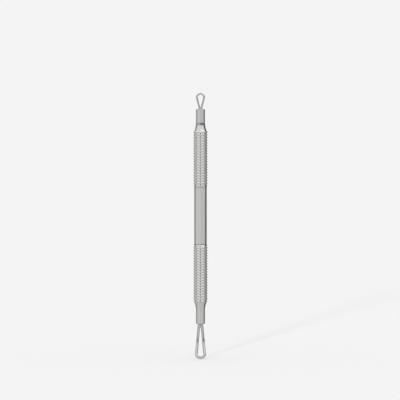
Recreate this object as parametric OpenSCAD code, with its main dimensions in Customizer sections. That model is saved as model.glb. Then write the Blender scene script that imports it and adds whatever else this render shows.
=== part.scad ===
// Double-ended loop extractor: a hollow octagonal handle with two ribbed grips,
// a flared neck plugged into each end and a bent wire loop set in each neck.
// Millimetres. The handle's axis is Z, a corner of the octagon faces -Y, and the
// lowest point of the large loop is at Z = 0.

/* [Handle] */
// Width of the ribbed grips across the corners
grip_d = 6.9; // [6.5:0.1:9]
// Width of the plain middle across the corners
middle_d = 6.15; // [5.4:0.05:6.4]
// Length of the grip next to the large loop
lower_grip_len = 28.3; // [12:0.1:45]
// Length of the plain middle between the grips
middle_len = 27.8; // [8:0.1:45]
// Length of the grip next to the small loop
upper_grip_len = 27.6; // [12:0.1:45]
// Length of the bevel at the end of a grip next to its neck
slope_len = 0.6; // [0.3:0.1:1]
// How many times longer than high the hollow shoulder between a grip and the middle is
shoulder_share = 3.2; // [1.5:0.1:5]
// Bore of the hollow handle
handle_bore = 4.4; // [3.6:0.1:4.6]

/* [Ribs] */
// Distance from one turned groove to the next
groove_pitch = 1.31; // [1.1:0.01:2.5]
// Depth of a groove, measured at the handle's corners
groove_depth = 0.43; // [0.2:0.01:0.5]
// Radius of the round-nosed cut that makes a groove
groove_r = 0.48; // [0.4:0.01:0.5]
// Least distance from the end of a grip to the middle of its first groove
groove_margin = 0.9; // [0.8:0.1:2]

/* [Necks] */
// Width of a neck across the corners
neck_d = 4.45; // [4.1:0.05:5]
// Width of a flare across the corners, where it meets the handle
flare_d = 5.95; // [5.6:0.05:6.4]
// Length of a flare
flare_len = 4.25; // [2:0.05:8]
// Length of the straight neck beyond its flare
neck_len = 6.35; // [4:0.05:15]
// Rounding of the upper neck's mouth
upper_mouth_r = 0.5; // [0.2:0.1:0.9]
// Rounding of the lower neck's mouth
lower_mouth_r = 0.35; // [0.1:0.05:0.4]
// Length of the spigot that fits in the handle
spigot_len = 6; // [3:0.5:8]

/* [Large loop] */
// Thickness of the large loop's wire
lower_wire_d = 1.3; // [0.8:0.05:1.35]
// Outer width of the large loop
lower_loop_w = 5.3; // [4:0.1:9]
// Distance from the neck to the middle of the large loop's round head, along the wire's plane
lower_head_h = 14.65; // [11:0.05:22]
// Bend radius of the large loop's two shoulders, as a share of its head's radius
lower_shoulder = 0.8; // [0.5:0.01:0.82]
// Bend radius of the large loop's slightly flat tip, as a share of its head's radius
lower_tip = 1.17; // [0.6:0.01:1.19]
// Length of the large loop's straight legs past the filler metal's bead
lower_straight = 0.6; // [0.3:0.1:3]
// Distance from the neck to the middle of the large loop's forward bend
lower_fold_h = 8.5; // [5:0.1:10]
// Angle of the forward bend
lower_fold = 12; // [2:1:20]
// Radius of the gentle forward bend
lower_fold_r = 15; // [5:1:25]

/* [Small loop] */
// Thickness of the small loop's wire
upper_wire_d = 0.9; // [0.6:0.05:1.2]
// Outer width of the small loop
upper_loop_w = 4.4; // [3.6:0.05:8]
// Distance from the neck to the middle of the small loop's round head
upper_head_h = 5.65; // [5:0.05:14]
// Bend radius of the small loop's two shoulders, as a share of its head's radius
upper_shoulder = 0.97; // [0.6:0.01:1.1]
// Bend radius of the small loop's slightly pointed tip, as a share of its head's radius
upper_tip = 0.86; // [0.6:0.01:1]
// Length of the small loop's straight legs past the filler metal's bead
upper_straight = 0.3; // [0.2:0.1:3]

/* [Joints] */
// Length of each wire leg inside its neck
leg_depth = 8; // [4:0.5:9]
// Gap between the two legs of a loop inside the neck
leg_gap = 0.15; // [0.06:0.01:0.2]
// Clearance between a spigot and the handle, and between a leg and its hole
fit_gap = 0.05; // [0.03:0.01:0.08]
// Bevel inside each end of the handle, which the seam's filler metal fills
seam_bevel = 0.3; // [0.2:0.05:0.35]
// Height of the filler metal's bead outside a neck
bead_h = 0.35; // [0.15:0.05:0.5]

/* [Hidden] */

// Round surfaces
$fn = 48;
// Steps in the arc of a flare, in that of a shoulder and in the rounding of a neck's mouth
flare_steps = 10;
shoulder_steps = 6;
mouth_steps = 6;
// Overlap of a cut past the surface that it opens
cut_over = 1;
// Clearance of the filler metal from the metal that it wets
skin = 0.01;
// Room past the end of a wire leg at the bottom of its hole
hole_room = 0.3;
// Radius of the bend in each leg where the two legs part
leg_bend_r = 1.5;
// Extra radius of the wire through a bend, where the metal is upset
bend_swell = 0.005;
// Length of a straight run that lies inside the bend next to it
run_seat = 0.04;

// An octagon's half width across the flats, from its width across the corners
function flat_half(corner_d) = corner_d / 2 * cos(22.5);

handle_len = lower_grip_len + middle_len + upper_grip_len;
neck_reach = flare_len + neck_len;

// Heights above the necks' mouths at which the two legs of a loop part
lower_part_h = bead_h + lower_straight;
upper_part_h = bead_h + upper_straight;

// Height of the large loop below the lower neck's mouth, after its forward bend
lower_drop = lower_fold_h
    + (
        lower_head_h
        - lower_fold_h
        + head_top(lower_loop_w, lower_wire_d, lower_head_h - lower_part_h, lower_tip)
    ) * cos(lower_fold)
    + lower_wire_d / 2
    + bend_swell;
lower_mouth_z = lower_drop;
lower_seam_z = lower_mouth_z + neck_reach;
upper_seam_z = lower_seam_z + handle_len;
upper_mouth_z = upper_seam_z + neck_reach;

// Wire paths. A path is a list of corners, each a point and its bend radius.

function unit(v) = v / norm(v);

// Turn of the path at corner i
function turn(path, i) =
    acos(unit(path[i][0] - path[i - 1][0]) * unit(path[i + 1][0] - path[i][0]));

// Length that the bend at corner i takes from the straight runs on both sides of it
function trim(path, i) =
    i == 0 || i == len(path) - 1 ? 0 : path[i][1] * tan(turn(path, i) / 2);

// Radius of the head's inscribed circle, along the wire's centre line
function head_circle(loop_w, wire_d) = (loop_w - wire_d) / 2;

// Half the distance between the two legs inside the neck
function leg_half(wire_d) = (wire_d + leg_gap) / 2;

// Lean of the legs, which run from where they part to touch the head's circle, rise above
function leg_lean(loop_w, wire_d, rise) =
    asin(head_circle(loop_w, wire_d) / norm([leg_half(wire_d), rise])) - atan2(leg_half(wire_d), rise);

// Turn at each of the head's three bends
function head_turn(loop_w, wire_d, rise) = 60 + leg_lean(loop_w, wire_d, rise) * 2 / 3;

// Distance from the middle of the head to the top of the wire's centre line
function head_top(loop_w, wire_d, rise, tip) =
    head_circle(loop_w, wire_d) * (tip + (1 - tip) / cos(head_turn(loop_w, wire_d, rise) / 2));

// The head's corner on one side, -1 or 1, or its tip, 0, measured from the head's middle
function head_corner(side, loop_w, wire_d, rise) =
    let (
        reach = head_circle(loop_w, wire_d) / cos(head_turn(loop_w, wire_d, rise) / 2),
        angle = 90 - side * head_turn(loop_w, wire_d, rise)
    )
    [reach * cos(angle), 0, reach * sin(angle)];

// The corners of one side of a loop, from the end of its leg to the shoulder of its head
function side_path(side, loop_w, wire_d, part_h, head_h, shoulder) = [
    [[side * leg_half(wire_d), 0, -leg_depth], 0],
    [[side * leg_half(wire_d), 0, part_h], leg_bend_r],
    [
        [0, 0, head_h] + head_corner(side, loop_w, wire_d, head_h - part_h),
        shoulder * head_circle(loop_w, wire_d)
    ]
];

function reversed(list) = [for (i = [len(list) - 1:-1:0]) list[i]];

// The whole path of a flat loop, from the end of one leg to the end of the other
function loop_path(loop_w, wire_d, part_h, head_h, shoulder, tip) = concat(
    side_path(-1, loop_w, wire_d, part_h, head_h, shoulder),
    [[
        [0, 0, head_h] + head_corner(0, loop_w, wire_d, head_h - part_h),
        tip * head_circle(loop_w, wire_d)
    ]],
    reversed(side_path(1, loop_w, wire_d, part_h, head_h, shoulder))
);

// A point past the forward bend, swung towards -Y about the line at fold_h
function folded(p, fold_h, fold) = [
    p[0],
    -(p[2] - fold_h) * sin(fold),
    fold_h + (p[2] - fold_h) * cos(fold)
];

// Where the straight line between two points passes the height of the forward bend
function crossing(a, b, fold_h) = a + (b - a) * (fold_h - a[2]) / (b[2] - a[2]);

// A flat path folded forward at fold_h, with a corner where each leg passes that height
function folded_path(path, fold_h, fold, fold_r) = [
    for (i = [0:len(path) - 1])
        let (
            p = path[i][0],
            before = path[max(i - 1, 0)][0],
            passes = (before[2] - fold_h) * (p[2] - fold_h) < 0
        )
        each concat(
            passes ? [[crossing(before, p, fold_h), fold_r]] : [],
            [[p[2] > fold_h ? folded(p, fold_h, fold) : p, path[i][1]]]
        )
];

lower_path = folded_path(
    loop_path(lower_loop_w, lower_wire_d, lower_part_h, lower_head_h, lower_shoulder, lower_tip),
    lower_fold_h,
    lower_fold,
    lower_fold_r
);
upper_path =
    loop_path(upper_loop_w, upper_wire_d, upper_part_h, upper_head_h, upper_shoulder, upper_tip);

// Shapes that several pieces use

// Sets its children along three square axes from a point
module frame_at(origin, x_axis, y_axis, z_axis) {
    multmatrix([
        [x_axis[0], y_axis[0], z_axis[0], origin[0]],
        [x_axis[1], y_axis[1], z_axis[1], origin[1]],
        [x_axis[2], y_axis[2], z_axis[2], origin[2]],
        [0, 0, 0, 1]
    ])
        children();
}

// A straight run of wire, from one point to another
module run(from, to, d) {
    along = unit(to - from);
    across = unit(cross(along, [0, 1, 0]));
    frame_at(from, cross(along, across), -across, along)
        cylinder(d = d, h = norm(to - from));
}

// A bend of wire at corner i of a path
module bend(path, i, d) {
    along = unit(path[i][0] - path[i - 1][0]);
    axis = unit(cross(along, path[i + 1][0] - path[i][0]));
    inward = cross(axis, along);
    centre = path[i][0] - along * trim(path, i) + inward * path[i][1];
    frame_at(centre, -inward, along, axis)
        rotate_extrude(angle = turn(path, i))
            translate([path[i][1], 0])
                circle(r = d / 2 + bend_swell);
}

// Distance from corner i to where the straight run beside it ends, just inside the bend
function run_end(path, i) = trim(path, i) == 0 ? 0 : trim(path, i) - run_seat;

// A wire along a path of straight runs and bends
module wire(path, d) {
    for (i = [0:len(path) - 2]) {
        along = unit(path[i + 1][0] - path[i][0]);
        run(path[i][0] + along * run_end(path, i), path[i + 1][0] - along * run_end(path, i + 1), d);
    }
    for (i = [1:len(path) - 2])
        bend(path, i, d);
}

// A hollow arc that widens by rise over a length, straight at its start: the widening and the
// distance from the start at each of its points
function hollow(rise, length, steps) =
    let (sweep = 2 * atan2(rise, length), r = length / sin(sweep))
    [for (i = [0:steps]) let (a = sweep * i / steps) [r * (1 - cos(a)), r * sin(a)]];

// An octagonal solid, from the points along the right of its side view
module octagonal(right) {
    intersection_for(angle = [22.5:45:157.5])
        rotate([0, 0, angle])
            rotate([90, 0, 0])
                linear_extrude(height = 2 * grip_d, center = true)
                    polygon(concat(right, [for (p = reversed(right)) [-p[0], p[1]]]));
}

// Carries what is drawn from a seam outwards to the upper or the lower end
module upper_end(z) {
    translate([0, 0, z])
        children();
}

module lower_end(z) {
    translate([0, 0, z])
        mirror([0, 0, 1])
            children();
}

// Handle

// The handle's outside from the lower seam upwards: a bevel at each end, and a hollow shoulder
// at each end of the plain middle
module handle_body() {
    seam = flat_half(flare_d);
    grip = flat_half(grip_d);
    middle = flat_half(middle_d);
    low_end = lower_grip_len;
    high_start = lower_grip_len + middle_len;
    shoulder = hollow(grip - middle, (grip - middle) * shoulder_share, shoulder_steps);
    octagonal(concat(
        [[seam, 0], [grip, slope_len]],
        [for (p = reversed(shoulder)) [middle + p[0], low_end - p[1]]],
        [for (p = shoulder) [middle + p[0], high_start + p[1]]],
        [[grip, handle_len - slope_len], [seam, handle_len]]
    ));
}

// The turned grooves of one grip, spread evenly about its middle
module grooves(grip_len) {
    count = floor((grip_len - 2 * groove_margin) / groove_pitch) + 1;
    first = (grip_len - (count - 1) * groove_pitch) / 2;
    for (i = [0:count - 1])
        translate([0, 0, first + i * groove_pitch])
            rotate_extrude()
                translate([grip_d / 2 - groove_depth + groove_r, 0])
                    circle(r = groove_r);
}

// The bevel inside the end of the handle, drawn from the seam inwards
module seam_bevel_cut() {
    translate([0, 0, -cut_over])
        cylinder(r = handle_bore / 2 + seam_bevel, h = cut_over);
    cylinder(r1 = handle_bore / 2 + seam_bevel, r2 = handle_bore / 2, h = seam_bevel);
}

module handle_tube() {
    color("silver")
        translate([0, 0, lower_seam_z])
            difference() {
                handle_body();
                grooves(lower_grip_len);
                translate([0, 0, lower_grip_len + middle_len])
                    grooves(upper_grip_len);
                translate([0, 0, -cut_over])
                    cylinder(d = handle_bore, h = handle_len + 2 * cut_over);
                seam_bevel_cut();
                translate([0, 0, handle_len])
                    mirror([0, 0, 1])
                        seam_bevel_cut();
            }
}

// Necks

// A neck's outside from the seam outwards: a hollow flare, a straight neck, a round mouth
module neck_body(mouth_r) {
    base = flat_half(flare_d);
    neck = flat_half(neck_d);
    flare = [
        for (p = reversed(hollow(base - neck, flare_len, flare_steps)))
            [neck + p[0], flare_len - p[1]]
    ];
    mouth = [
        for (i = [0:mouth_steps])
            let (a = 90 * i / mouth_steps)
            [neck - mouth_r * (1 - cos(a)), neck_reach - mouth_r * (1 - sin(a))]
    ];
    octagonal(concat(flare, mouth));
}

// Diameter of the hole that takes the two legs of a loop
function wire_hole_d(wire_d) = 2 * wire_d + leg_gap + 2 * fit_gap;

// A neck drawn from the seam outwards, with its spigot below the seam
module neck(wire_d, mouth_r) {
    difference() {
        union() {
            neck_body(mouth_r);
            translate([0, 0, -spigot_len])
                cylinder(d = handle_bore - 2 * fit_gap, h = spigot_len);
        }
        translate([0, 0, neck_reach - leg_depth - hole_room])
            cylinder(d = wire_hole_d(wire_d), h = leg_depth + hole_room + cut_over);
    }
}

module lower_neck() {
    color("silver")
        lower_end(lower_seam_z)
            neck(lower_wire_d, lower_mouth_r);
}

module upper_neck() {
    color("silver")
        upper_end(upper_seam_z)
            neck(upper_wire_d, upper_mouth_r);
}

// Loops, drawn from the mouth of the neck outwards

module lower_loop() {
    color("gainsboro")
        lower_end(lower_mouth_z)
            wire(lower_path, lower_wire_d);
}

module upper_loop() {
    color("gainsboro")
        upper_end(upper_mouth_z)
            wire(upper_path, upper_wire_d);
}

// Filler metal

// The filler round two straight legs, with a low bead outside the mouth
module loop_braze(wire_d) {
    fill_r = wire_hole_d(wire_d) / 2 - skin;
    bead_r = (fill_r * fill_r + bead_h * bead_h) / (2 * bead_h);
    difference() {
        union() {
            translate([0, 0, -leg_depth])
                cylinder(r = fill_r, h = leg_depth);
            intersection() {
                translate([0, 0, bead_h - bead_r])
                    sphere(r = bead_r);
                cylinder(r = fill_r, h = bead_r);
            }
        }
        for (side = [-1, 1])
            translate([side * leg_half(wire_d), 0, -leg_depth - cut_over])
                cylinder(r = wire_d / 2 + skin, h = leg_depth + 2 * cut_over);
    }
}

module lower_loop_braze() {
    color("darkgray")
        lower_end(lower_mouth_z)
            loop_braze(lower_wire_d);
}

module upper_loop_braze() {
    color("darkgray")
        upper_end(upper_mouth_z)
            loop_braze(upper_wire_d);
}

// The ring of filler in the handle's bevel, drawn from the seam outwards
module seam_braze() {
    inner = handle_bore / 2 - fit_gap + skin;
    outer = handle_bore / 2 + seam_bevel - 2 * skin;
    rotate_extrude()
        polygon([[inner, -skin], [outer, -skin], [inner, -skin - (outer - inner)]]);
}

module lower_seam_braze() {
    color("darkgray")
        lower_end(lower_seam_z)
            seam_braze();
}

module upper_seam_braze() {
    color("darkgray")
        upper_end(upper_seam_z)
            seam_braze();
}

handle_tube();
lower_neck();
upper_neck();
lower_loop();
upper_loop();
lower_loop_braze();
upper_loop_braze();
lower_seam_braze();
upper_seam_braze();
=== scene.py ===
"""Dressed model of a double-ended loop extractor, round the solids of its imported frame.

Lengths are in millimetres and angles in degrees, unless a docstring says otherwise.
"""

import logging
import math
from dataclasses import dataclass
from enum import Enum
from functools import cached_property

import bpy
from mathutils import Matrix, Vector

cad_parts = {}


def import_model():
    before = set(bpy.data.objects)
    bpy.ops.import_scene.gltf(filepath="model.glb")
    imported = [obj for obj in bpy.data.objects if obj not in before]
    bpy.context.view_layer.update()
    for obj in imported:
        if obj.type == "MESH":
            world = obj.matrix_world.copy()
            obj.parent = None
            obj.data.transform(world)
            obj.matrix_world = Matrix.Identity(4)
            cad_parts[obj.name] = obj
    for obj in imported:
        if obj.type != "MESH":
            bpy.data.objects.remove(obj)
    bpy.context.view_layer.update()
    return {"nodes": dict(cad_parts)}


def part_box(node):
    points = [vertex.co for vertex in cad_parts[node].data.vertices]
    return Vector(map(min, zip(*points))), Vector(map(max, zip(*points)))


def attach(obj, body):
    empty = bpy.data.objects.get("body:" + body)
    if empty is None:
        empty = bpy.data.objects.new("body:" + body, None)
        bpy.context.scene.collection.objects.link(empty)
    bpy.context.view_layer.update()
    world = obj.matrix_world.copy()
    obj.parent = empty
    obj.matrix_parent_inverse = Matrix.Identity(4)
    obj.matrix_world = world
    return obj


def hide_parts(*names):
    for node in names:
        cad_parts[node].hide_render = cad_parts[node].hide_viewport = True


LOG = logging.getLogger("extractor")
MM = 0.001
BODY = "root"
OCTAGON = 8
FLAT_SHARE = math.cos(math.pi / OCTAGON)

Socket = bpy.types.NodeSocket
Object = bpy.types.Object
Material = bpy.types.Material
Triple = tuple[float, float, float]
Color = Triple
Paint = tuple[float, float, float, float]
Span = tuple[float, float]


class Way(Enum):
    """The way from the handle to the end that a piece is on."""

    DOWN = -1
    UP = 1


def toned(color: Color, share: float) -> Paint:
    """Returns a lighter or darker colour, with an alpha of one."""
    return (*(min(1.0, share * part) for part in color), 1.0)


def gray(tone: float) -> Paint:
    """Returns a gray or a glowing white, with an alpha of one."""
    return (tone, tone, tone, 1.0)


@dataclass(frozen=True)
class Pattern:
    """A noise pattern.

    Attributes:
        scale: Its features per millimetre along each axis.
        detail: The number of its finer layers.
        roughness: The share of the finer layers.
    """

    scale: Triple
    detail: float = 2.0
    roughness: float = 0.5


class Graph:
    """The nodes of a material or of the world, added one at a time."""

    def __init__(self, tree: bpy.types.NodeTree) -> None:
        """Empties a node tree, to fill it anew."""
        tree.nodes.clear()
        self.tree = tree

    def add(self, kind: str, inputs: dict | None = None, **settings: object) -> bpy.types.Node:
        """Adds a node.

        Args:
            kind: The node's type name without its ShaderNode prefix.
            inputs: Values or sockets for the node's inputs, by name or number.
            **settings: Properties of the node.

        Returns:
            The new node.
        """
        node = self.tree.nodes.new("ShaderNode" + kind)
        for name, value in settings.items():
            setattr(node, name, value)
        for name, value in (inputs or {}).items():
            if isinstance(value, Socket):
                self.tree.links.new(value, node.inputs[name])
            else:
                node.inputs[name].default_value = value
        return node

    def math(self, operation: str, *values: object) -> Socket:
        """Returns the result of a Math node on numbers or sockets."""
        return self.add("Math", dict(enumerate(values)), operation=operation).outputs[0]

    def vector(self, operation: str, *values: object) -> bpy.types.Node:
        """Returns a Vector Math node, because the operations differ in their outputs."""
        return self.add("VectorMath", dict(enumerate(values)), operation=operation)

    @cached_property
    def here(self) -> Socket:
        """The surface's place."""
        place = self.add("TexCoord").outputs["Object"]
        return self.vector("MULTIPLY", place, (1 / MM, 1 / MM, 1 / MM)).outputs[0]

    def ramp(
        self, value: Socket, low: float, high: float, start: float = 0.0, end: float = 1.0
    ) -> Socket:
        """Returns a smooth step of a value, from start at its low mark to end at its high mark."""
        inputs = {"Value": value, "From Min": low, "From Max": high, "To Min": start, "To Max": end}
        return self.add("MapRange", inputs, interpolation_type="SMOOTHSTEP").outputs["Result"]

    def noise(self, place: Socket, pattern: Pattern) -> Socket:
        """Adds a noise pattern.

        Args:
            place: Where the pattern is read.
            pattern: The pattern.

        Returns:
            The pattern's value, about one half on average.
        """
        place = self.vector("MULTIPLY", place, pattern.scale).outputs[0]
        inputs = {"Vector": place, "Scale": 1.0}
        inputs |= {"Detail": pattern.detail, "Roughness": pattern.roughness}
        return self.add("TexNoise", inputs).outputs[0]

    def sway(self, base: object, pattern: Socket, swing: float) -> Socket:
        """Returns a number or socket that a pattern sways up and down, by a swing in all."""
        return self.math("MULTIPLY_ADD", pattern, swing, self.math("SUBTRACT", base, swing / 2))

    def mottle(self, pattern: Socket, span: Span, color: Color, tones: Span) -> Socket:
        """Returns a colour whose tones follow a pattern, from its low to its high value in the span."""
        dark, light = (toned(color, tone) for tone in tones)
        return self.blend(self.ramp(pattern, *span), dark, light)

    def blend(self, factor: Socket, first: object, second: object) -> Socket:
        """Returns a blend of two colours or sockets. The factor is the share of the second."""
        return self.add("Mix", {0: factor, 6: first, 7: second}, data_type="RGBA").outputs[2]

    def bump(self, height: Socket) -> Socket:
        """Returns the normal of a surface with small heights."""
        return self.add("Bump", {"Height": height, "Strength": 1.0, "Distance": MM}).outputs[0]

    def round_axis(self) -> Socket:
        """Returns the direction round the Z axis."""
        return self.add("Tangent", direction_type="RADIAL", axis="Z").outputs[0]

    def metal(
        self, color: Socket, roughness: Socket, normal: Socket, anisotropy: float, tangent: Socket
    ) -> None:
        """Adds a metal surface and makes it the material's.

        Args:
            color: The metal's colour.
            roughness: Its roughness.
            normal: Its normal.
            anisotropy: How far its marks spread a reflection along the tangent.
            tangent: The direction across its marks.
        """
        inputs = {"Base Color": color, "Roughness": roughness, "Normal": normal, "Metallic": 1.0}
        inputs |= {"Anisotropic": anisotropy, "Tangent": tangent}
        shader = self.add("BsdfPrincipled", inputs)
        self.add("OutputMaterial", {"Surface": shader.outputs[0]})


def new_material(name: str) -> tuple[Material, Graph]:
    """Makes an empty node material.

    Args:
        name: The material's name.

    Returns:
        The material and its nodes.
    """
    material = bpy.data.materials.new(name)
    material.use_nodes = True
    return material, Graph(material.node_tree)


@dataclass(frozen=True)
class Zones:
    """Sockets that are one inside a bar's zone and zero outside it.

    Attributes:
        grip: The two grips.
        groove: Their turned grooves.
        corner: The corners of the octagon, smoother from wear and with a painted highlight on the
            grips.
        pit: The deep corners of the grooves, darkened with painted shade.
    """

    grip: Socket
    groove: Socket
    corner: Socket
    pit: Socket


@dataclass(frozen=True)
class BrushedBar:
    """Satin steel bar, polished lengthwise, with turned grooves in its grips.

    A corner of the octagon is found by the distance from the axis as a share of the half width across
    the flats. That share is 1 in the middle of a flat and 1.08 at a sharp corner.

    Attributes:
        name: The material's name.
        edges: Heights of the edges across the bar that polishing has rounded.
        feet: Heights of the lines of painted shade at the feet of its shoulders.
        land_half: Half the grips' width across the flats.
        middle_z: Height of the middle of the plain part between the grips.
        middle_half: Half the length of that plain part.
        color: The polished flats' colour.
        land_tone: Tone that the lands between the grooves tend to.
        corner_highlight_tone: Tone of the painted highlight on the corners of the lands.
        roughness: The flats' roughness.
        anisotropy: How far the lengthwise marks spread a reflection across the bar.
        streak_depth: Depth of the lengthwise marks.
        edge_reach: How far the rounding of an edge reaches to each side.
        edge_lean: Slope of the surface at a rounded edge.
    """

    STREAKS = Pattern((9.0, 9.0, 0.12), 4.0, 0.7)
    HAIRLINES = Pattern((34.0, 34.0, 0.35))
    CLOUDS = Pattern((0.5, 0.5, 0.16))
    # Frays the edge of the smoother corners and of their painted highlight.
    CORNER_WEAR_AND_HIGHLIGHT = Pattern((1.0, 1.0, 0.8), 3.0)

    # Where a zone starts and where it is full, as lengths or as shares of the half width.
    GRIP_FADE = 0.1
    GROOVE_DROP = (0.03, 0.01)
    CORNER_SHARE = (1.045, 1.07)
    CORNER_SWING = 0.02
    PIT_SHARE = (1.035, 1.06)
    PIT_DEPTH = (0.26, 0.36)
    PIT_FADE = 0.05
    FOOT_REACH = (0.1, 0.35)

    # Tones of the steel, and how far a zone takes its tone.
    STREAK_SPAN = (0.25, 0.75)
    STREAK_TONES = (0.96, 1.04)
    LAND_BLEND = 0.75
    # Painted highlight in the grooves, and painted shade in their deep corners.
    GROOVE_HIGHLIGHT_TONE = 1.35
    PIT_TONE = 0.25
    # Painted shade in a line at the foot of each shoulder.
    FOOT_SHADE_TONE = 0.6
    FOOT_SHADE_BLEND = 0.8

    # What each pattern and zone adds to the roughness.
    STREAK_SWING = 0.06
    CLOUD_SWING = 0.05
    GROOVE_ROUGHER = 0.08
    CORNER_ROUGHER = -0.03

    name: str
    edges: tuple[float, ...] = ()
    feet: tuple[float, ...] = ()
    land_half: float = 3.187
    middle_z: float = 0.0
    middle_half: float = 0.0
    color: Color = (0.66, 0.66, 0.648)
    land_tone: float = 0.87
    corner_highlight_tone: float = 1.5
    roughness: float = 0.17
    anisotropy: float = 0.85
    streak_depth: float = 0.0004
    edge_reach: float = 0.15
    edge_lean: float = 0.2

    def material(self) -> Material:
        """Returns the material with its nodes."""
        material, graph = new_material(self.name)
        zones = self.zones(graph)
        streak = graph.noise(graph.here, self.STREAKS)
        rough = graph.sway(self.roughness, streak, self.STREAK_SWING)
        rough = graph.sway(rough, graph.noise(graph.here, self.CLOUDS), self.CLOUD_SWING)
        rough = graph.math("MULTIPLY_ADD", zones.groove, self.GROOVE_ROUGHER, rough)
        rough = graph.math("MULTIPLY_ADD", zones.corner, self.CORNER_ROUGHER, rough)
        height = graph.math("ADD", streak, graph.noise(graph.here, self.HAIRLINES))
        height = graph.math("MULTIPLY", height, self.streak_depth)
        for edge in self.edges:
            height = graph.math("ADD", height, self.rounding(graph, edge))
        color = self.tones(graph, streak, zones)
        graph.metal(color, rough, graph.bump(height), self.anisotropy, graph.round_axis())
        return material

    def zones(self, graph: Graph) -> Zones:
        """Adds the nodes that tell the bar's zones apart.

        Args:
            graph: The material's nodes.

        Returns:
            The zones.
        """
        outward = self.away(graph, self.middle_z)
        grip = graph.ramp(outward, self.middle_half - self.GRIP_FADE, self.middle_half)
        width = self.width(graph)
        deep, shallow = (self.land_half - drop for drop in self.GROOVE_DROP)
        groove = graph.math("MULTIPLY", graph.ramp(width, deep, shallow, 1.0, 0.0), grip)
        share, depth = self.depth(graph, width)
        ragged = graph.sway(share, graph.noise(graph.here, self.CORNER_WEAR_AND_HIGHLIGHT), self.CORNER_SWING)
        corner = graph.ramp(ragged, *self.CORNER_SHARE)
        pit = graph.ramp(depth, *self.PIT_DEPTH)
        pit = graph.math("MULTIPLY", graph.ramp(share, *self.PIT_SHARE), pit)
        if self.edges:
            # The slopes past the outermost edges are as deep as a groove, but get no painted shade in
            # their corners.
            half = (self.edges[-1] - self.edges[0]) / 2
            outward = self.away(graph, self.edges[0] + half)
            pit = graph.math("MULTIPLY", pit, graph.ramp(outward, half, half + self.PIT_FADE, 1.0, 0.0))
        return Zones(grip, groove, corner, pit)

    def tones(self, graph: Graph, streak: Socket, zones: Zones) -> Socket:
        """Adds the nodes that colour the bar, with its painted highlights and painted shade.

        Args:
            graph: The material's nodes.
            streak: The pattern of the lengthwise marks.
            zones: The bar's zones.

        Returns:
            The colour's socket.
        """
        color = graph.mottle(streak, self.STREAK_SPAN, self.color, self.STREAK_TONES)
        land = graph.math("MULTIPLY", zones.grip, self.LAND_BLEND)
        color = graph.blend(land, color, toned(self.color, self.land_tone))
        # Painted highlight on the corners of the grips.
        corner_highlight = graph.math("MULTIPLY", zones.corner, zones.grip)
        color = graph.blend(corner_highlight, color, toned(self.color, self.corner_highlight_tone))
        # Painted highlight in the grooves, darkening to painted shade in their deep corners.
        groove_highlight, dark = (toned(self.color, tone) for tone in (self.GROOVE_HIGHLIGHT_TONE, self.PIT_TONE))
        turned = graph.blend(zones.pit, groove_highlight, dark)
        color = graph.blend(zones.groove, color, turned)
        # Painted shade in a line at the foot of each shoulder.
        for foot in self.feet:
            foot_shade = graph.ramp(self.away(graph, foot), *self.FOOT_REACH, self.FOOT_SHADE_BLEND, 0.0)
            color = graph.blend(foot_shade, color, toned(self.color, self.FOOT_SHADE_TONE))
        return color

    def away(self, graph: Graph, height: float) -> Socket:
        """Returns the distance of the surface's place from a height."""
        z = graph.add("SeparateXYZ", {0: graph.here}).outputs[2]
        return graph.math("ABSOLUTE", graph.math("SUBTRACT", z, height))

    def width(self, graph: Graph) -> Socket:
        """Adds the nodes that measure half the octagon's width across the flats.

        Args:
            graph: The material's nodes.

        Returns:
            The half width's socket.
        """
        width = 0.0
        for number in range(OCTAGON // 2):
            angle = math.pi * (2 * number + 1) / OCTAGON
            normal = (math.cos(angle), math.sin(angle), 0.0)
            across = graph.vector("DOT_PRODUCT", graph.here, normal).outputs["Value"]
            width = graph.math("MAXIMUM", width, graph.math("ABSOLUTE", across))
        return width

    def depth(self, graph: Graph, width: Socket) -> tuple[Socket, Socket]:
        """Adds the nodes that measure how near a corner a place is, and how deep in a groove.

        Args:
            graph: The material's nodes.
            width: Half the width across the flats there.

        Returns:
            The socket of the distance from the axis as a share of the half width, and the socket of the
            depth below the grips' flats and corners.
        """
        level = graph.vector("MULTIPLY", graph.here, (1.0, 1.0, 0.0)).outputs[0]
        radius = graph.vector("LENGTH", level).outputs["Value"]
        share = graph.math("DIVIDE", radius, width)
        grip_radius = graph.math("MULTIPLY", share, self.land_half)
        return share, graph.math("SUBTRACT", grip_radius, radius)

    def rounding(self, graph: Graph, edge: float) -> Socket:
        """Adds the height that rounds one edge across the bar.

        Args:
            graph: The material's nodes.
            edge: The edge's height.

        Returns:
            The height's socket.
        """
        near = graph.math("MULTIPLY_ADD", self.away(graph, edge), -1 / self.edge_reach, 1.0)
        near = graph.math("MAXIMUM", near, 0.0)
        drop = self.edge_lean * self.edge_reach / 2
        return graph.math("MULTIPLY", graph.math("POWER", near, 2.0), -drop)


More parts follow.
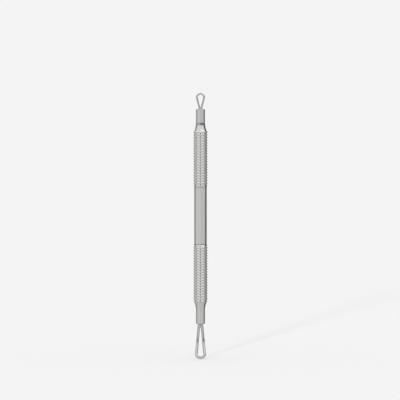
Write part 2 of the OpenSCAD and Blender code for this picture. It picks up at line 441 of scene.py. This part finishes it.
@dataclass(frozen=True)
class DrawnWire:
    """Polished wire, with fine die marks along it, from its own UV map.

    Attributes:
        name: The material's name.
        color: The metal's colour.
        roughness: Its roughness.
        anisotropy: How far the die marks spread a reflection round the wire.
        mark_depth: Depth of the die marks.
    """

    # In the UV map, U goes once round the wire and V along it in millimetres.
    MARKS = Pattern((36.0, 0.15, 1.0), 4.0, 0.7)
    CLOUDS = Pattern((0.8, 0.8, 0.8), 3.0)
    SPECKS = Pattern((7.0, 7.0, 7.0))

    MARK_SPAN = (0.25, 0.75)
    MARK_TONES = (0.93, 1.05)
    SPECK_SPAN = (0.66, 0.72)
    SPECK_TONE = 0.75
    SPECK_BLEND = 0.5
    MARK_SWING = 0.1
    CLOUD_SWING = 0.08

    name: str
    color: Color = (0.68, 0.68, 0.665)
    roughness: float = 0.2
    anisotropy: float = 0.6
    mark_depth: float = 0.0006

    def material(self) -> Material:
        """Returns the material with its nodes."""
        material, graph = new_material(self.name)
        flow = graph.add("UVMap", uv_map=WireLoop.UV_NAME).outputs[0]
        marks = graph.noise(flow, self.MARKS)
        speck = graph.noise(graph.here, self.SPECKS)
        speck = graph.ramp(speck, *self.SPECK_SPAN, 0.0, self.SPECK_BLEND)
        color = graph.mottle(marks, self.MARK_SPAN, self.color, self.MARK_TONES)
        color = graph.blend(speck, color, toned(self.color, self.SPECK_TONE))
        rough = graph.sway(self.roughness, marks, self.MARK_SWING)
        rough = graph.sway(rough, graph.noise(graph.here, self.CLOUDS), self.CLOUD_SWING)
        height = graph.math("MULTIPLY", marks, self.mark_depth)
        tangent = graph.add("Tangent", direction_type="UV_MAP", uv_map=WireLoop.UV_NAME).outputs[0]
        graph.metal(color, rough, graph.bump(height), self.anisotropy, tangent)
        return material


@dataclass(frozen=True)
class FillerMetal:
    """Dull silver filler, frozen with small ripples and pits.

    Attributes:
        name: The material's name.
        color: The metal's colour.
        roughness: Its roughness.
        ripple_h: Height of its ripples.
        grain_h: Height of its finer grain.
    """

    RIPPLES = Pattern((3.0, 3.0, 3.0), 3.0)
    GRAIN = Pattern((16.0, 16.0, 16.0), 3.0, 0.6)

    RIPPLE_SPAN = (0.3, 0.7)
    RIPPLE_TONES = (0.86, 1.1)
    PIT_SPAN = (0.3, 0.36)
    PIT_TONE = 0.5
    PIT_BLEND = 0.6
    GRAIN_SWING = 0.2

    name: str
    color: Color = (0.64, 0.64, 0.625)
    roughness: float = 0.36
    ripple_h: float = 0.012
    grain_h: float = 0.003

    def material(self) -> Material:
        """Returns the material with its nodes."""
        material, graph = new_material(self.name)
        ripple = graph.noise(graph.here, self.RIPPLES)
        grain = graph.noise(graph.here, self.GRAIN)
        pit = graph.ramp(grain, *self.PIT_SPAN, self.PIT_BLEND, 0.0)
        color = graph.mottle(ripple, self.RIPPLE_SPAN, self.color, self.RIPPLE_TONES)
        color = graph.blend(pit, color, toned(self.color, self.PIT_TONE))
        rough = graph.sway(self.roughness, grain, self.GRAIN_SWING)
        height = graph.math("MULTIPLY", grain, self.grain_h)
        height = graph.math("MULTIPLY_ADD", ripple, self.ripple_h, height)
        graph.metal(color, rough, graph.bump(height), 0.0, graph.round_axis())
        return material


class Forming:
    """Small steps of hand modelling."""

    @staticmethod
    def settle() -> None:
        """Puts the active piece's place in its mesh."""
        bpy.ops.object.transform_apply(location=True, rotation=True, scale=True)

    @staticmethod
    def pick(piece: Object) -> None:
        """Makes a piece the active one, and the only one selected."""
        bpy.ops.object.select_all(action="DESELECT")
        piece.select_set(True)
        bpy.context.view_layer.objects.active = piece

    @staticmethod
    def disc(name: str, radius: float, corners: int, place: Vector) -> Object:
        """Starts a piece as a level disc, selected in edit mode.

        Args:
            name: The piece's name.
            radius: The disc's radius at its corners.
            corners: The number of its corners, the first of which faces +Y.
            place: Its middle.

        Returns:
            The piece.
        """
        bpy.ops.mesh.primitive_circle_add(
            vertices=corners, radius=radius * MM, fill_type="NGON", location=place * MM
        )
        piece = bpy.context.object
        piece.name = name
        piece.data.name = name
        Forming.settle()
        bpy.ops.object.mode_set(mode="EDIT")
        bpy.ops.mesh.select_all(action="SELECT")
        return piece

    @staticmethod
    def push(step: Vector) -> None:
        """Extrudes what is selected by a step."""
        bpy.ops.mesh.extrude_region_move(TRANSFORM_OT_translate={"value": tuple(step * MM)})

    @staticmethod
    def resize(across: float, deep: float, place: Vector) -> None:
        """Resizes what is selected along X and Y about a place."""
        bpy.ops.transform.resize(value=(across, deep, 1.0), center_override=tuple(place * MM))

    @staticmethod
    def close() -> None:
        """Turns the faces outwards and leaves edit mode."""
        bpy.ops.mesh.select_all(action="SELECT")
        bpy.ops.mesh.normals_make_consistent(inside=False)
        bpy.ops.object.mode_set(mode="OBJECT")

    @staticmethod
    def rod(radius: float, corners: int, bottom: float, top: float) -> Object:
        """Adds an upright rod on the axis.

        Args:
            radius: Its radius.
            corners: The number of its sides.
            bottom: Its lower end's height.
            top: Its upper end's height.

        Returns:
            The rod.
        """
        bpy.ops.mesh.primitive_cylinder_add(
            vertices=corners,
            radius=radius * MM,
            depth=(top - bottom) * MM,
            location=(0.0, 0.0, (top + bottom) / 2 * MM),
        )
        rod = bpy.context.object
        Forming.settle()
        return rod

    @staticmethod
    def modify(piece: Object, kind: str, **settings: object) -> None:
        """Adds a modifier to a piece and applies it.

        Args:
            piece: The piece.
            kind: The modifier's type.
            **settings: Its properties.
        """
        Forming.pick(piece)
        modifier = piece.modifiers.new(kind.lower(), kind)
        for name, value in settings.items():
            setattr(modifier, name, value)
        bpy.ops.object.modifier_apply(modifier=modifier.name)

    @staticmethod
    def combine(piece: Object, tool: Object, operation: str) -> None:
        """Joins a tool to a piece, or cuts it out, and removes the tool."""
        Forming.modify(piece, "BOOLEAN", object=tool, operation=operation, solver="EXACT")
        bpy.data.objects.remove(tool, do_unlink=True)

    @staticmethod
    def smooth(piece: Object, angle: float) -> None:
        """Shades a piece smooth up to an angle, and keeps its flats flat."""
        Forming.pick(piece)
        bpy.ops.object.shade_smooth_by_angle(angle=math.radians(angle))
        Forming.modify(piece, "WEIGHTED_NORMAL", mode="FACE_AREA", weight=100, keep_sharp=True)


def dress(piece: Object, node: str, material: Material) -> None:
    """Gives a modelled piece its material and its body, and hides the CAD node that it stands for.

    Args:
        piece: The piece.
        node: The CAD node that it stands for.
        material: Its material.
    """
    piece.data.materials.clear()
    piece.data.materials.append(material)
    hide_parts(node)
    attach(piece, BODY)
    LOG.info("modelled %s for %s, %d faces", piece.name, node, len(piece.data.polygons))


@dataclass
class Handle:
    """The hollow octagonal handle, which stays as the CAD made it.

    Attributes:
        grip_d: Width of the ribbed grips across the corners.
        middle_d: Width of the plain middle across the corners.
        lower_grip_len: Length of the grip next to the large loop.
        middle_len: Length of the plain middle.
        slope_len: Length of the bevel at the end of a grip next to its neck.
        shoulder_share: How many times longer than high a grip's hollow shoulder is.
    """

    grip_d: float = 6.9
    middle_d: float = 6.15
    lower_grip_len: float = 28.3
    middle_len: float = 27.8
    slope_len: float = 0.6
    shoulder_share: float = 3.2

    def edges(self) -> tuple[float, float, float, float]:
        """Returns the heights of the edges where each grip ends, from the lowest."""
        seam, top = (corner[2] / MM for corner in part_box("handle_tube"))
        shoulder = (self.grip_d - self.middle_d) / 2 * FLAT_SHARE * self.shoulder_share
        low, high = self.feet()
        return (seam + self.slope_len, low - shoulder, high + shoulder, top - self.slope_len)

    def feet(self) -> tuple[float, float]:
        """Returns the heights of the plain middle's two ends."""
        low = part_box("handle_tube")[0][2] / MM + self.lower_grip_len
        return (low, low + self.middle_len)

    def dress(self, node: Object) -> None:
        """Gives the handle its brushed steel.

        Args:
            node: The handle's CAD node.
        """
        edges = self.edges()
        low, high = edges[1:3]
        steel = BrushedBar(
            "handle_steel_satin",
            edges,
            self.feet(),
            middle_z=(low + high) / 2,
            middle_half=(high - low) / 2,
        )
        node.material_slots[0].material = steel.material()
        LOG.info("dressed handle_tube")


@dataclass
class Neck:
    """A flared octagonal end plug, with its spigot and the hole for the wire.

    Attributes:
        name: The piece's name.
        node: The CAD node that it stands for.
        way: The end that it is on.
        mouth_r: Rounding of its mouth.
        wire_hole_d: Diameter of its hole.
        neck_d: Its width across the corners.
        flare_d: The flare's width across the corners, where it meets the handle.
        flare_len: The flare's length.
        neck_len: Length of the straight neck.
        spigot_d: Diameter of the spigot.
        spigot_len: Its length.
        corner: Width of the bevel that rounds each corner.
        hole_len: Depth of the hole.
    """

    # How fine the mesh is, how far a rod overlaps the face it starts at, and what counts as level.
    FLARE_STEPS = 20
    MOUTH_STEPS = 7
    ROUND_STEPS = 48
    CORNER_STEPS = 2
    SMOOTH_ANGLE = 26.0
    OVERLAP = 1.0
    LEVEL = 0.0001

    name: str
    node: str
    way: Way
    mouth_r: float
    wire_hole_d: float
    neck_d: float = 4.45
    flare_d: float = 5.95
    flare_len: float = 4.25
    neck_len: float = 6.35
    spigot_d: float = 4.3
    spigot_len: float = 6.0
    corner: float = 0.09
    hole_len: float = 8.3

    def seam_z(self) -> float:
        """Returns the height of the seam between the neck and the handle."""
        end = 0 if self.way is Way.DOWN else 1
        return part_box("handle_tube")[end][2] / MM

    def profile(self) -> list[tuple[float, float]]:
        """Returns the octagon's radius at its corners against the distance from the seam."""
        base = self.flare_d / 2 * FLAT_SHARE
        neck = self.neck_d / 2 * FLAT_SHARE
        widen = base - neck
        flare_r = (self.flare_len**2 + widen**2) / (2 * widen)
        sweep = math.asin(self.flare_len / flare_r)
        reach = self.flare_len + self.neck_len
        points = []
        for step in range(self.FLARE_STEPS + 1):
            angle = sweep * (1 - step / self.FLARE_STEPS)
            outwards = flare_r * (1 - math.cos(angle))
            points.append((neck + outwards, self.flare_len - flare_r * math.sin(angle)))
        for step in range(self.MOUTH_STEPS + 1):
            angle = math.pi / 2 * step / self.MOUTH_STEPS
            inwards = self.mouth_r * (1 - math.cos(angle))
            points.append((neck - inwards, reach - self.mouth_r * (1 - math.sin(angle))))
        return [(half / FLAT_SHARE, height) for half, height in points]

    def build(self) -> Object:
        """Models the neck ring by ring from the seam outwards.

        Returns:
            The piece.
        """
        seam = self.seam_z()
        sign = self.way.value
        profile = self.profile()
        piece = Forming.disc(self.name, profile[0][0], OCTAGON, Vector((0.0, 0.0, seam)))
        for (before, low), (radius, high) in zip(profile, profile[1:]):
            Forming.push(Vector((0.0, 0.0, sign * (high - low))))
            share = radius / before
            Forming.resize(share, share, Vector((0.0, 0.0, seam + sign * high)))
        self.bevel_corners(piece)
        Forming.close()
        spigot = self.rod(self.spigot_d, seam, self.spigot_len)
        Forming.combine(piece, spigot, "UNION")
        hole = self.rod(self.wire_hole_d, seam + sign * profile[-1][1], self.hole_len)
        Forming.combine(piece, hole, "DIFFERENCE")
        Forming.smooth(piece, self.SMOOTH_ANGLE)
        return piece

    def rod(self, diameter: float, face: float, reach: float) -> Object:
        """Adds a rod that goes from a face of the neck inwards, and a little outwards.

        Args:
            diameter: The rod's diameter.
            face: The face's height.
            reach: How far the rod goes inwards.

        Returns:
            The rod.
        """
        inner = face - self.way.value * reach
        outer = face + self.way.value * self.OVERLAP
        return Forming.rod(diameter / 2, self.ROUND_STEPS, min(inner, outer), max(inner, outer))

    def bevel_corners(self, piece: Object) -> None:
        """Rounds the octagon's lengthwise corners.

        Args:
            piece: The piece, in edit mode.
        """
        bpy.ops.mesh.select_all(action="DESELECT")
        bpy.ops.object.mode_set(mode="OBJECT")
        corners = piece.data.vertices
        for edge in piece.data.edges:
            low, high = (corners[number].co for number in edge.vertices)
            edge.select = abs(high.z - low.z) > self.LEVEL * MM
        bpy.ops.object.mode_set(mode="EDIT")
        bpy.ops.mesh.select_mode(type="EDGE")
        bpy.ops.mesh.bevel(offset=self.corner * MM, segments=self.CORNER_STEPS, affect="EDGES")


@dataclass(frozen=True)
class Corner:
    """A corner of a wire's path, and the radius of the bend there."""

    place: Vector
    bend_r: float


@dataclass
class WireLoop:
    """A teardrop loop bent from one wire, with both legs set in a neck.

    Attributes:
        name: The piece's name.
        node: The CAD node that it stands for.
        way: The end that it is on.
        wire_d: The wire's thickness.
        loop_w: The loop's outer width.
        head_h: Distance from the neck to the middle of the head, along the wire's plane.
        shoulder: Bend radius of the shoulders, as a share of the head's radius.
        tip: Bend radius of the tip, as a share of the head's radius.
        part_h: Distance from the neck to where the two legs part.
        fold_h: Distance from the neck to the forward bend.
        fold: Angle of the forward bend.
        fold_r: Its radius.
        leg_depth: Length of each leg inside the neck.
        leg_gap: Gap between the legs there.
        leg_bend_r: Radius of the bend where the legs part.
    """

    UV_NAME = "wire"
    HEAD_BENDS = 3
    ROUND_STEPS = 24
    BEND_STEP = 5.0
    RUN_STEP = 1.0
    SMOOTH_ANGLE = 40.0

    name: str
    node: str
    way: Way
    wire_d: float
    loop_w: float
    head_h: float
    shoulder: float
    tip: float
    part_h: float
    fold_h: float = 0.0
    fold: float = 0.0
    fold_r: float = 15.0
    leg_depth: float = 8.0
    leg_gap: float = 0.15
    leg_bend_r: float = 1.5

    def mouth_z(self) -> float:
        """Returns the height of the neck's mouth."""
        if self.way is Way.DOWN:
            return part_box("lower_neck")[0][2] / MM
        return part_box("upper_neck")[1][2] / MM

    def flat_path(self) -> list[Corner]:
        """Returns the loop's corners before its forward bend, with Z going outwards from the mouth."""
        circle = (self.loop_w - self.wire_d) / 2
        leg = (self.wire_d + self.leg_gap) / 2
        rise = self.head_h - self.part_h
        # The legs lean out until they touch the head's circle, and its three bends share the turn back.
        lean = math.asin(circle / math.hypot(leg, rise)) - math.atan2(leg, rise)
        turn = (math.pi + 2 * lean) / self.HEAD_BENDS
        reach = circle / math.cos(turn / 2)
        shoulder_x = reach * math.sin(turn)
        shoulder_z = self.head_h + reach * math.cos(turn)
        right = [
            Corner(Vector((leg, 0.0, -self.leg_depth)), 0.0),
            Corner(Vector((leg, 0.0, self.part_h)), self.leg_bend_r),
            Corner(Vector((shoulder_x, 0.0, shoulder_z)), self.shoulder * circle),
        ]
        left = [Corner(Vector((-c.place.x, 0.0, c.place.z)), c.bend_r) for c in right]
        top = Corner(Vector((0.0, 0.0, self.head_h + reach)), self.tip * circle)
        return [*left, top, *reversed(right)]

    def folded_path(self) -> list[Corner]:
        """Returns the loop's corners with a corner where each leg passes the forward bend."""
        flat = self.flat_path()
        if not self.fold:
            return flat
        lean = math.radians(self.fold)
        path = []
        for number, corner in enumerate(flat):
            before = flat[max(number - 1, 0)].place
            here = corner.place
            if (before.z - self.fold_h) * (here.z - self.fold_h) < 0:
                share = (self.fold_h - before.z) / (here.z - before.z)
                path.append(Corner(before.lerp(here, share), self.fold_r))
            past = here.z - self.fold_h
            if past > 0:
                here = Vector((here.x, -past * math.sin(lean), self.fold_h + past * math.cos(lean)))
            path.append(Corner(here, corner.bend_r))
        return path

    def path(self) -> list[Corner]:
        """Returns the loop's corners in the row frame."""
        mouth = self.mouth_z()
        sign = self.way.value
        return [
            Corner(Vector((c.place.x, c.place.y, mouth + sign * c.place.z)), c.bend_r)
            for c in self.folded_path()
        ]

    def build(self) -> Object:
        """Models the wire from the end of one leg to the end of the other.

        Returns:
            The piece.
        """
        path = self.path()
        line = [path[0].place]
        piece = Forming.disc(self.name, self.wire_d / 2, self.ROUND_STEPS, path[0].place)
        for before, corner, after in zip(path, path[1:], path[2:]):
            along = (corner.place - before.place).normalized()
            ahead = (after.place - corner.place).normalized()
            turn = along.angle(ahead)
            trim = corner.bend_r * math.tan(turn / 2)
            self.run(line, corner.place - along * trim)
            axis = along.cross(ahead).normalized()
            centre = line[-1] + axis.cross(along) * corner.bend_r
            self.bend(line, turn, centre, axis)
        self.run(line, path[-1].place)
        Forming.close()
        self.add_flow(piece, line)
        Forming.smooth(piece, self.SMOOTH_ANGLE)
        return piece

    def run(self, line: list[Vector], end: Vector) -> None:
        """Extrudes the wire's end face straight on.

        Args:
            line: The middles of the wire's rings so far, which it makes longer.
            end: Where the straight run ends.
        """
        step = end - line[-1]
        count = max(1, math.ceil(step.length / self.RUN_STEP))
        for _ in range(count):
            Forming.push(step / count)
            line.append(line[-1] + step / count)

    def bend(self, line: list[Vector], turn: float, centre: Vector, axis: Vector) -> None:
        """Spins the wire's end face through a bend.

        Args:
            line: The middles of the wire's rings so far, which it makes longer.
            turn: The bend's angle, in radians.
            centre: Its centre.
            axis: The axis that it turns about. The spin operator turns the other way round it.
        """
        count = max(2, math.ceil(math.degrees(turn) / self.BEND_STEP))
        bpy.ops.mesh.spin(steps=count, angle=turn, center=tuple(centre * MM), axis=tuple(-axis))
        step = Matrix.Rotation(turn / count, 3, axis)
        for _ in range(count):
            line.append(centre + step @ (line[-1] - centre))

    def add_flow(self, piece: Object, line: list[Vector]) -> None:
        """Adds a UV map in which U goes round the wire and V along it.

        Args:
            piece: The wire.
            line: The middles of its rings, from one end to the other.
        """
        length = [0.0]
        for start, end in zip(line, line[1:]):
            length.append(length[-1] + (end - start).length)
        places = []
        for vertex in piece.data.vertices:
            here = vertex.co / MM
            ring = min(range(len(line)), key=lambda near: (line[near] - here).length_squared)
            ahead = line[min(ring + 1, len(line) - 1)] - line[max(ring - 1, 0)]
            out = here - line[ring]
            side = ahead.normalized().cross(Vector((0.0, 1.0, 0.0)))
            places.append((math.atan2(out.y, out.dot(side)) / (2 * math.pi), length[ring]))
        flow = piece.data.uv_layers.new(name=self.UV_NAME)
        for face in piece.data.polygons:
            first = places[face.vertices[0]][0]
            for corner in face.loop_indices:
                turn, along = places[piece.data.loops[corner].vertex_index]
                flow.uv[corner].vector = (turn - round(turn - first), along)


@dataclass
class Fillet:
    """The filler metal round a loop's legs: a mound with hollow sides and a web between the legs.

    Attributes:
        name: The piece's name.
        node: The CAD node that it stands for.
        loop: The loop whose legs it holds.
        fill_r: Its radius in the neck's hole.
        web_h: Height of the web between the legs.
        sink: Its depth inside the hole.
        lump_w: Width of its lumps.
        lump_h: Height of its lumps.
    """

    # The web's half width at its foot is a share of a leg's distance from the axis, and its half depth
    # is a share of the wire's thickness. A power makes the mound's sides hollow.
    FOOT_SHARE = 0.25
    TOP_HALF = 0.04
    DEPTH_SHARE = 0.12
    HOLLOW = 3.0
    STEPS = 12
    ROUND_STEPS = 40
    SMOOTH_ANGLE = 60.0

    name: str
    node: str
    loop: WireLoop
    fill_r: float
    web_h: float
    sink: float = 1.0
    lump_w: float = 0.9
    lump_h: float = 0.03

    def outline(self, share: float) -> tuple[float, float]:
        """Returns the mound's half width and half depth.

        Args:
            share: The height, as a share of the web's.

        Returns:
            The half width along X and the half depth along Y.
        """
        rest = 1 - share
        foot = self.FOOT_SHARE * (self.loop.wire_d + self.loop.leg_gap) / 2
        across = foot * rest + (self.fill_r - foot) * rest ** (self.HOLLOW / 2) + self.TOP_HALF
        thin = self.DEPTH_SHARE * self.loop.wire_d
        deep = thin + (self.fill_r - thin) * rest**self.HOLLOW
        return min(across, self.fill_r), min(deep, self.fill_r)

    def build(self) -> Object:
        """Models the mound from inside the hole outwards.

        Returns:
            The piece.
        """
        mouth = self.loop.mouth_z()
        sign = self.loop.way.value
        bottom = Vector((0.0, 0.0, mouth - sign * self.sink))
        piece = Forming.disc(self.name, self.fill_r, self.ROUND_STEPS, bottom)
        Forming.push(Vector((0.0, 0.0, sign * self.sink)))
        before = (self.fill_r, self.fill_r)
        for step in range(1, self.STEPS + 1):
            share = step / self.STEPS
            now = self.outline(share)
            Forming.push(Vector((0.0, 0.0, sign * self.web_h / self.STEPS)))
            place = Vector((0.0, 0.0, mouth + sign * self.web_h * share))
            Forming.resize(now[0] / before[0], now[1] / before[1], place)
            before = now
        Forming.close()
        lumps = bpy.data.textures.new(self.name + "_lumps", "CLOUDS")
        lumps.noise_scale = self.lump_w * MM
        height = self.lump_h * MM
        Forming.modify(piece, "DISPLACE", texture=lumps, texture_coords="GLOBAL", strength=height)
        Forming.smooth(piece, self.SMOOTH_ANGLE)
        return piece


@dataclass(frozen=True)
class Belt:
    """One belt of the light tent: the tone of its cloth in eight directions from the tool."""

    front: float
    front_right: float
    right: float
    back_right: float
    back: float
    back_left: float
    left: float
    front_left: float

    def tones(self) -> tuple[float, ...]:
        """Returns the tones from the left round the front to the left again."""
        round_front = (self.left, self.front_left, self.front, self.front_right, self.right)
        return (*round_front, self.back_right, self.back, self.back_left, self.left)


@dataclass
class Studio:
    """The table, the light tent, the shadow's sun and the camera.

    Attributes:
        image_mm: Width of the square picture at the tool.
        target: The point in the middle of the picture.
        elevation: The camera's height above the horizon.
        lens: The camera's focal length.
        backdrop: The pale background's colour value.
        table_half_x: Half the table's width.
        table_front: Distance from the tool to the table's front edge.
        table_back: Distance from the tool to the table's back edge.
        sun_strength: The shadow-casting sun's strength.
        sun_elevation: Its height above the horizon.
        sun_turn: The direction in which its shadow falls, counted from +X.
        sun_size: Its width in the sky.
        tent_radius: The tent's radius.
        low: The belt that stands for the table and the tent's foot.
        level: The belt just below the horizon.
        slit: The dark gap above the horizon.
        high: The belt above the gap.
        softbox: The tone of the lamp's window.
        level_rise: The heights where the low belt starts and ends to fade into the level one.
        slit_rise: Those where the level belt fades into the gap.
        high_rise: Those where the gap fades into the high belt.
        window_low: Those where the window's lower edge fades in.
        window_high: Those where its upper edge fades out.
        window_turn: The window's direction, as a share of a turn from the left through the front.
        window_side: Where the window fades out to each side of it, as shares of a turn.
        clip_end: How far the camera sees, in metres.
    """

    TENT_STEPS = 64

    image_mm: float = 195.04
    target: Triple = (-0.22, 0.0, 77.58)
    elevation: float = 3.0
    lens: float = 600.0
    backdrop: float = 0.904
    table_half_x: float = 300.0
    table_front: float = 300.0
    table_back: float = 1200.0
    sun_strength: float = 0.73
    sun_elevation: float = 13.5
    sun_turn: float = 77.5
    sun_size: float = 3.0
    tent_radius: float = 20000.0
    low: Belt = Belt(0.6, 0.75, 0.45, 0.05, 0.65, 0.4, 0.45, 0.8)
    level: Belt = Belt(0.62, 0.77, 0.45, 0.17, 0.8, 0.44, 0.53, 0.83)
    slit: Belt = Belt(0.05, 0.2, 0.15, 0.05, 0.6, 0.3, 0.3, 0.52)
    high: Belt = Belt(0.85, 1.0, 0.7, 0.05, 0.65, 0.55, 0.65, 1.0)
    softbox: float = 1.5
    level_rise: Span = (-16.0, -7.0)
    slit_rise: Span = (-0.6, 1.2)
    high_rise: Span = (8.0, 12.5)
    window_low: Span = (25.0, 33.0)
    window_high: Span = (42.0, 52.0)
    window_turn: float = 0.375
    window_side: Span = (0.05, 0.09)
    clip_end: float = 10.0

    def build(self) -> None:
        """Builds the whole set."""
        self.world()
        self.table()
        self.tent()
        self.sun()
        self.camera()

    def world(self) -> None:
        """Makes the pale world all round."""
        world = bpy.data.worlds.new("studio")
        bpy.context.scene.world = world
        world.use_nodes = True
        graph = Graph(world.node_tree)
        light = graph.add("Background", {"Color": gray(self.backdrop), "Strength": 1.0})
        graph.add("OutputWorld", {"Surface": light.outputs[0]})

    def table(self) -> None:
        """Makes the pale table that the tool stands on."""
        bpy.ops.mesh.primitive_plane_add(size=1.0)
        table = bpy.context.object
        table.name = "table"
        depth = self.table_front + self.table_back
        middle = (self.table_back - self.table_front) / 2
        bpy.ops.object.mode_set(mode="EDIT")
        bpy.ops.mesh.select_all(action="SELECT")
        bpy.ops.transform.resize(value=(2 * self.table_half_x * MM, depth * MM, 1.0))
        bpy.ops.transform.translate(value=(0.0, middle * MM, 0.0))
        bpy.ops.object.mode_set(mode="OBJECT")
        # The table shows the backdrop's colour under the light of both the world and the sun.
        sun = self.sun_strength * math.sin(math.radians(self.sun_elevation)) / math.pi
        material, graph = new_material("table_white")
        matt = graph.add("BsdfDiffuse", {"Color": gray(self.backdrop / (self.backdrop + sun))})
        graph.add("OutputMaterial", {"Surface": matt.outputs[0]})
        table.data.materials.append(material)
        table.visible_glossy = False

    def tent(self) -> None:
        """Makes the tent, which only reflections see."""
        bpy.ops.mesh.primitive_uv_sphere_add(
            segments=self.TENT_STEPS, ring_count=self.TENT_STEPS // 2, radius=self.tent_radius * MM
        )
        tent = bpy.context.object
        tent.name = "light_tent"
        tent.visible_camera = False
        tent.visible_diffuse = False
        tent.visible_shadow = False
        tent.visible_transmission = False
        tent.data.materials.append(self.tent_material())

    def tent_material(self) -> Material:
        """Returns the tent's glowing cloth."""
        material, graph = new_material("tent_cloth")
        place = graph.add("TexCoord").outputs["Object"]
        way = graph.add("SeparateXYZ", {0: graph.vector("NORMALIZE", place).outputs[0]}).outputs
        turn = graph.math("DIVIDE", graph.math("ARCTAN2", way[1], way[0]), 2 * math.pi)
        turn = graph.math("ADD", turn, 0.5)
        height = graph.math("DEGREES", graph.math("ARCSINE", way[2]))
        low, level, slit, high = (
            self.belt_ramp(graph, belt, turn) for belt in (self.low, self.level, self.slit, self.high)
        )
        color = graph.blend(graph.ramp(height, *self.level_rise), low, level)
        color = graph.blend(graph.ramp(height, *self.slit_rise), color, slit)
        color = graph.blend(graph.ramp(height, *self.high_rise), color, high)
        aside = graph.math("ABSOLUTE", graph.math("SUBTRACT", turn, self.window_turn))
        window = graph.ramp(height, *self.window_low)
        window = graph.math("MULTIPLY", window, graph.ramp(height, *self.window_high, 1.0, 0.0))
        window = graph.math("MULTIPLY", window, graph.ramp(aside, *self.window_side, 1.0, 0.0))
        color = graph.blend(window, color, gray(self.softbox))
        glow = graph.add("Emission", {"Color": color, "Strength": 1.0})
        graph.add("OutputMaterial", {"Surface": glow.outputs[0]})
        return material

    def belt_ramp(self, graph: Graph, belt: Belt, turn: Socket) -> Socket:
        """Adds one belt's tones round the tool.

        Args:
            graph: The tent's nodes.
            belt: The belt.
            turn: The direction, from 0 and 1 at the left through the front at a quarter.

        Returns:
            The tone's socket.
        """
        node = graph.add("ValToRGB", {0: turn})
        node.color_ramp.interpolation = "EASE"
        marks = node.color_ramp.elements
        marks.remove(marks[1])
        tones = belt.tones()
        for number, tone in enumerate(tones):
            mark = marks[0] if number == 0 else marks.new(number / (len(tones) - 1))
            mark.color = gray(tone)
        return node.outputs[0]

    def sun(self) -> None:
        """Adds the low sun that casts the tool's long soft shadow."""
        lamp = bpy.data.lights.new("shadow_sun", "SUN")
        lamp.energy = self.sun_strength
        lamp.angle = math.radians(self.sun_size)
        sun = bpy.data.objects.new("shadow_sun", lamp)
        turn = math.radians(self.sun_turn)
        rise = math.radians(self.sun_elevation)
        along = math.cos(rise)
        ray = Vector((math.cos(turn) * along, math.sin(turn) * along, -math.sin(rise)))
        sun.rotation_euler = ray.to_track_quat("-Z", "Y").to_euler()
        sun.visible_glossy = False
        bpy.context.scene.collection.objects.link(sun)

    def camera(self) -> None:
        """Adds the camera, at the photograph's angle and frame."""
        data = bpy.data.cameras.new("camera")
        data.lens = self.lens
        camera = bpy.data.objects.new("camera", data)
        target = Vector(self.target) * MM
        rise = math.radians(self.elevation)
        back = Vector((0.0, -math.cos(rise), math.sin(rise)))
        distance = self.image_mm * MM * self.lens / data.sensor_width
        camera.location = target + back * distance
        camera.rotation_euler = (-back).to_track_quat("-Z", "Y").to_euler()
        data.clip_end = self.clip_end
        bpy.context.scene.collection.objects.link(camera)
        bpy.context.scene.camera = camera


def main() -> None:
    """Builds and dresses the tool and its set."""
    logging.basicConfig(level=logging.INFO, format="%(name)s: %(message)s")
    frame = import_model()
    nodes = frame["nodes"]
    bpy.context.scene.view_settings.view_transform = "Standard"

    Handle().dress(nodes["handle_tube"])

    neck_steel = BrushedBar(
        "neck_steel_satin", land_half=0.0, land_tone=1.0, corner_highlight_tone=1.0, roughness=0.18
    ).material()
    lower_neck = Neck("lower_neck_plug", "lower_neck", Way.DOWN, mouth_r=0.35, wire_hole_d=2.85)
    upper_neck = Neck("upper_neck_plug", "upper_neck", Way.UP, mouth_r=0.5, wire_hole_d=2.05)
    for neck in (lower_neck, upper_neck):
        dress(neck.build(), neck.node, neck_steel)

    wire = DrawnWire("drawn_wire").material()
    large = WireLoop(
        "large_wire_loop",
        "lower_loop",
        Way.DOWN,
        wire_d=1.3,
        loop_w=5.3,
        head_h=14.65,
        shoulder=0.8,
        tip=1.17,
        part_h=0.95,
        fold_h=8.5,
        fold=12.0,
    )
    small = WireLoop(
        "small_wire_loop",
        "upper_loop",
        Way.UP,
        wire_d=0.9,
        loop_w=4.4,
        head_h=5.65,
        shoulder=0.97,
        tip=0.86,
        part_h=0.65,
    )
    for loop in (large, small):
        dress(loop.build(), loop.node, wire)

    filler = FillerMetal("silver_filler").material()
    lower_fillet = Fillet("lower_fillet", "lower_loop_braze", large, fill_r=1.415, web_h=1.9)
    upper_fillet = Fillet("upper_fillet", "upper_loop_braze", small, fill_r=1.015, web_h=0.9)
    for fillet in (lower_fillet, upper_fillet):
        dress(fillet.build(), fillet.node, filler)
    for name in ("lower_seam_braze", "upper_seam_braze"):
        nodes[name].material_slots[0].material = filler
        LOG.info("dressed %s", name)

    Studio().build()


if __name__ == "__main__":
    main()
